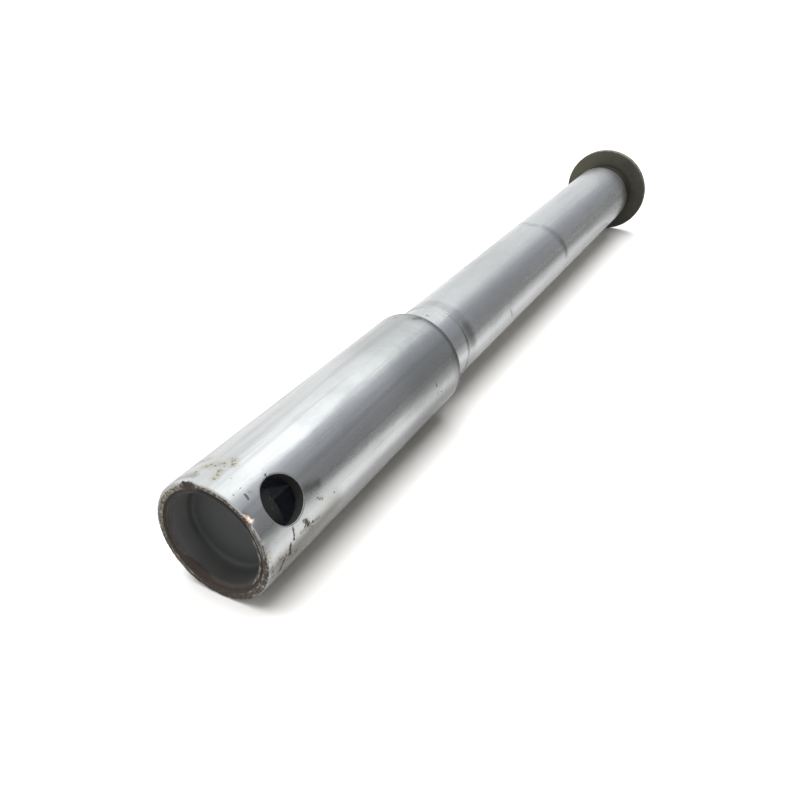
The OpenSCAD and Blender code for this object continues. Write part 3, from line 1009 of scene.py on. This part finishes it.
def crust_tree():
    """Scatters crumbs over faces, more where the density is high."""
    tree, given, result = new_tree("Crust", "GeometryNodeTree",
                                   {"Geometry": "Geometry", "Count": "Float", "Size": "Float", "Seed": "Int",
                                    "Finish": "Material"},
                                   {"Geometry": "Geometry"})
    thick = put(tree, "GeometryNodeInputNamedAttribute", {"Name": "crust"}, data_type="FLOAT")[0]
    spread = put(tree, "GeometryNodeDistributePointsOnFaces",
                 {"Mesh": given["Geometry"], "Density": given["Count"] * thick, "Seed": given["Seed"]},
                 distribute_method="RANDOM")["Points"]
    crumb = put(tree, "GeometryNodeMeshIcoSphere", {"Radius": 1.0, "Subdivisions": 2})["Mesh"]
    size = put(tree, "FunctionNodeRandomValue",
               {2: given["Size"] * 0.25, 3: given["Size"], "Seed": given["Seed"]}, data_type="FLOAT")[1]
    turn = put(tree, "FunctionNodeRandomValue",
               {1: (6.28, 6.28, 6.28), "Seed": given["Seed"] + 5.0}, data_type="FLOAT_VECTOR")[0]
    scale = put(tree, "ShaderNodeVectorMath", {0: (1.0, 0.75, 0.6), "Scale": size}, operation="SCALE")["Vector"]
    laid = put(tree, "GeometryNodeInstanceOnPoints",
               {"Points": spread, "Instance": crumb, "Rotation": turn, "Scale": scale})[0]
    real = put(tree, "GeometryNodeRealizeInstances", {"Geometry": laid})[0]
    lumps = put(tree, "ShaderNodeTexNoise", {"Vector": put(tree, "GeometryNodeInputPosition")[0], "Scale": 4200.0})[1]
    shift = lumps.vector("SUBTRACT", (0.5,) * 3).vector("MULTIPLY", (0.16 * MM, 0.05 * MM, 0.16 * MM))
    rough = put(tree, "GeometryNodeSetPosition", {"Geometry": real, "Offset": shift})[0]
    dressed = put(tree, "GeometryNodeSetMaterial", {"Geometry": rough, "Material": given["Finish"]})[0]
    feed(result, {"Geometry": dressed})
    return tree


# Where the crust lies on the rim: degrees from -X over the top, half width in degrees and thickness.
CRUST_PLACES = [(73, 5, 1.0), (92, 9, 0.2), (172, 12, 0.35), (200, 16, 0.4), (275, 22, 0.15), (318, 20, 0.15)]


class AXLE_OT_crust(Operator):
    """Scatter crumbs of rust and dirt on the rim of the open end"""

    bl_idname = "axle.crust"
    bl_label = "Rim crust"

    def execute(self, context):
        z, s, colours = context.scene.fitting_sizes, context.scene.shaft_sizes, context.scene.axle_finishes
        inset = 0.30 * MM
        base = OPEN_END + inset
        outer = s.head_radius - 0.12 * MM
        line = [(s.bore_radius + 1.1 * MM, base), (s.bore_radius + 1.6 * MM, base), (outer - 0.75 * MM, base),
                (outer - 0.3 * MM, base + 0.2 * MM), (outer, base + 0.7 * MM), (outer, base + 1.4 * MM)]
        angles = np.linspace(0, 2 * math.pi, 181)
        grid = turned_rows(line, angles)
        rows, cols = grid.shape[:2]
        index = np.arange(rows * cols).reshape(rows, cols)
        quads = np.stack([index[:-1, :-1], index[:-1, 1:], index[1:, 1:], index[1:, :-1]], axis=-1).reshape(-1, 4)
        seed = bpy.data.meshes.new("rim_strip")
        seed.from_pydata(grid.reshape(-1, 3).tolist(), [], quads.tolist())
        thick = seed.attributes.new("crust", "FLOAT", "POINT")
        for k, point in enumerate(grid.reshape(-1, 3)):
            turn = math.degrees(math.atan2(point[2], -point[0]))
            thin = 0.35 if point[1] > base + 0.5 * MM else 1.0
            thick.data[k].value = min(1.0, bumps(turn, CRUST_PLACES)) * thin
        material = finish("rim_crust_rust", rim_crust, colours)
        tree = bpy.data.node_groups.get("Crust") or crust_tree()
        made = grown("rim_crust", seed, tree, {"Count": z.crumb_count * 1e4, "Size": z.crumb_size,
                                               "Seed": z.crumb_seed, "Finish": material})
        if not made.polygons:
            raise RuntimeError("the rim has no crumbs")
        smooth(made, 60)
        place_piece("rim_crust", made, material)
        return {"FINISHED"}


# The room round the axle, from -X over the top to +X, each half turn a place from 0 to 1.
ROOM_NEAR = [(0.0, (0.95, 0.95, 0.95)), (0.20, (1.04, 1.05, 1.05)), (0.34, (1.28, 1.31, 1.31)),
             (0.44, (1.56, 1.59, 1.59)), (0.545, (1.62, 1.66, 1.67)), (0.585, (0.62, 0.64, 0.68)),
             (0.72, (0.40, 0.41, 0.44)), (0.86, (0.25, 0.25, 0.26)), (1.0, (0.21, 0.21, 0.21))]
ROOM_FAR = [(0.0, (0.92, 0.93, 0.94)), (0.22, (0.84, 0.86, 0.87)), (0.40, (0.80, 0.82, 0.83)),
            (0.50, (0.73, 0.75, 0.77)), (0.56, (0.58, 0.60, 0.62)), (0.64, (0.42, 0.43, 0.46)),
            (0.78, (0.34, 0.35, 0.37)), (1.0, (0.29, 0.29, 0.29))]
ROOM_BACK = [(0.0, (0.62, 0.62, 0.62)), (0.30, (0.80, 0.81, 0.81)), (0.50, (0.90, 0.91, 0.91)),
             (0.62, (0.42, 0.42, 0.43)), (1.0, (0.20, 0.20, 0.20))]
# The same room as it lights what is matt, its bright front and its end straight along the axle.
ROOM_SOFT = [(0.0, (0.62, 0.61, 0.60)), (0.45, (0.60, 0.60, 0.60)), (0.60, (0.22, 0.205, 0.19)),
             (1.0, (0.13, 0.115, 0.10))]
ROOM_FRONT = (0.90, 0.89, 0.87)
ROOM_END = (0.50, 0.51, 0.52)
# The floor as the thick and the thin part mirror it, from 30 mm left of the axle to 170 mm right of it.
FLOOR_LEFT, FLOOR_RIGHT = -0.03, 0.17
FLOOR_NEAR = [(0.0, 0.47), (0.15, 0.60), (0.19, 0.70), (0.203, 0.86), (0.2185, 0.58), (0.238, 0.34),
              (0.265, 0.34), (0.305, 0.58), (0.39, 0.46), (0.67, 0.31), (0.95, 0.12)]
FLOOR_FAR = [(0.0, 0.545), (0.15, 0.75), (0.175, 0.93), (0.19, 0.93), (0.2075, 0.75), (0.23, 0.50),
             (0.26, 0.49), (0.305, 0.52), (0.3975, 0.285), (0.73, 0.19), (0.95, 0.12)]
# What the floor's two dimmer places go towards, how far it reaches and how far it lies under the axle.
FLOOR_DARK = (0.12, 0.12, 0.12)
FLOOR_SIZE, FLOOR_GAP = 9.0, 2e-5
# How far inside the open end and the flange's far face the floor touches the axle.
TOUCH_NEAR, TOUCH_FAR = 0.5 * MM, 1.9 * MM
# The fitted camera, and where the overhead light comes from.
CAMERA_AT = (0.09674, -0.18398, 0.11372)
CAMERA_RIGHT, CAMERA_UP = Vector((0.87538, 0.48343, 0.0)), Vector((-0.25242, 0.45707, 0.85286))
KEY_FROM = Vector((-0.12, 0.05, 0.99))


def first_mirror(path):
    """Whether a ray is what the metal mirrors straight to the camera."""
    return path["Is Glossy Ray"] * path["Diffuse Depth"].math("LESS_THAN", 0.5)


def studio_world():
    """A room with a soft bright ceiling on one side and a darker wall on the other."""
    world = bpy.data.worlds.new("studio_room")
    bpy.context.scene.world = world
    world.use_nodes = True
    tree = world.node_tree
    path = put(tree, "ShaderNodeLightPath")
    way = put(tree, "ShaderNodeTexCoord")["Generated"]
    ahead = put(tree, "ShaderNodeSeparateXYZ", {0: way})[1]
    turn = swing(way) / math.pi
    near, far, behind, soft = (shades(turn, row)[0] for row in (ROOM_NEAR, ROOM_FAR, ROOM_BACK, ROOM_SOFT))
    room = blend(ahead.ramp(0.76, 0.80), near, far)
    room = blend(ahead.ramp(-0.05, -0.45), room, behind)
    room = blend(ahead.ramp(0.935, 0.985), room, ROOM_END)
    soft = blend(ahead.ramp(-0.25, -0.6), soft, ROOM_FRONT)
    room = blend(first_mirror(path), soft, room)
    seen = path["Is Camera Ray"].most(path["Is Transmission Ray"])
    feed(tree.nodes["Background"], {"Color": blend(seen, room, (1.0, 1.0, 1.0)), "Strength": 1.0})


def floor_paint(settings):
    """White to the camera, with set tones for what the metal mirrors."""
    paint = bpy.data.materials.new("pale_floor")
    paint.use_nodes = True
    tree = paint.node_tree
    tree.nodes.remove(tree.nodes["Principled BSDF"])
    path = put(tree, "ShaderNodeLightPath")
    x, y, _ = put(tree, "ShaderNodeSeparateXYZ", {0: put(tree, "ShaderNodeTexCoord")["Object"]})
    side = x.ramp(FLOOR_LEFT, FLOOR_RIGHT, smooth=False)
    near, far = (shades(side, [(at, (tone, tone, tone)) for at, tone in row])[0] for row in (FLOOR_NEAR, FLOOR_FAR))
    mirrored = blend(y.ramp(0.01, 0.05), near, far)
    mirrored = blend(y.ramp(0.18, 0.23, 0.0, 0.5) * x.ramp(0.0, 0.01), mirrored, FLOOR_DARK)
    stripe = x.between(0.016, 0.036, 0.005) * y.ramp(0.08, 0.17, 0.0, 0.26)
    mirrored = blend(stripe, mirrored, FLOOR_DARK)
    shade = blend(first_mirror(path), settings.floor_bounce, mirrored)
    shade = blend(path["Is Camera Ray"], shade, tinted(settings.floor, settings.floor_white))
    matt = put(tree, "ShaderNodeBsdfDiffuse", {"Color": shade})[0]
    feed(tree.nodes["Material Output"], {"Surface": matt})
    return paint


class AXLE_OT_stage(Operator):
    """Set the camera, the pale floor and the soft light"""

    bl_idname = "axle.stage"
    bl_label = "Stage"

    def execute(self, context):
        scene, settings = context.scene, context.scene.stage_settings
        lens = bpy.data.cameras.new("camera")
        lens.sensor_width, lens.lens = 36.0, settings.lens
        lens.clip_start, lens.clip_end = 0.01, 60.0
        camera = linked("camera", lens)
        turn = Matrix((CAMERA_RIGHT, CAMERA_UP, CAMERA_RIGHT.cross(CAMERA_UP))).transposed().to_4x4()
        camera.matrix_world = Matrix.Translation(CAMERA_AT) @ turn
        scene.camera = camera
        # The floor leans, so that it meets both the thick end and the flange.
        near, far = (OPEN_END + TOUCH_NEAR, -SHAFT_HIGH.z), (SCREW_HIGH.y - TOUCH_FAR, -SCREW_HIGH.z)
        slope = (far[1] - near[1]) / (far[0] - near[0])
        mesh = bpy.data.meshes.new("floor")
        corners = [(x * FLOOR_SIZE, y * FLOOR_SIZE, near[1] + slope * (y * FLOOR_SIZE - near[0]) - FLOOR_GAP)
                   for x, y in ((-1, -1), (1, -1), (1, 1), (-1, 1))]
        mesh.from_pydata(corners, [], [(0, 1, 2, 3)])
        mesh.materials.append(floor_paint(settings))
        linked("floor", mesh)
        lamp = bpy.data.lights.new("key", "SUN")
        lamp.energy, lamp.angle = settings.key, settings.key_spread
        key = linked("key", lamp)
        key.rotation_mode = "QUATERNION"
        key.rotation_quaternion = KEY_FROM.to_track_quat("Z", "Y")
        key.visible_glossy = False
        studio_world()
        scene.view_settings.view_transform = "Standard"
        return {"FINISHED"}


class AXLE_PT_sidebar(Panel):
    """Lists the axle's pieces, sizes and finishes"""

    bl_idname = "AXLE_PT_sidebar"
    bl_label = "Front wheel axle"
    bl_space_type = "VIEW_3D"
    bl_region_type = "UI"
    bl_category = "Axle"

    def draw(self, context):
        for operator in OPERATORS:
            self.layout.operator(operator.bl_idname)
        for group in GROUPS:
            box = self.layout.box()
            for name in GROUPS[group].__annotations__:
                box.prop(getattr(context.scene, group), name)


GROUPS = {"shaft_sizes": ShaftSizes, "fitting_sizes": FittingSizes, "axle_finishes": Finishes,
          "stage_settings": StageSettings}
OPERATORS = (AXLE_OT_shaft, AXLE_OT_plug, AXLE_OT_screw, AXLE_OT_crust, AXLE_OT_stage)


def register():
    for cls in (*GROUPS.values(), *OPERATORS, AXLE_PT_sidebar):
        bpy.utils.register_class(cls)
    for name, cls in GROUPS.items():
        setattr(bpy.types.Scene, name, PointerProperty(type=cls))


def unregister():
    for name in GROUPS:
        delattr(bpy.types.Scene, name)
    for cls in (AXLE_PT_sidebar, *reversed(OPERATORS), *reversed(list(GROUPS.values()))):
        bpy.utils.unregister_class(cls)


def main():
    register()
    bpy.ops.axle.stage()
    bpy.ops.axle.shaft()
    bpy.ops.axle.plug()
    bpy.ops.axle.screw()
    bpy.ops.axle.crust()


if __name__ == "__main__":
    main()
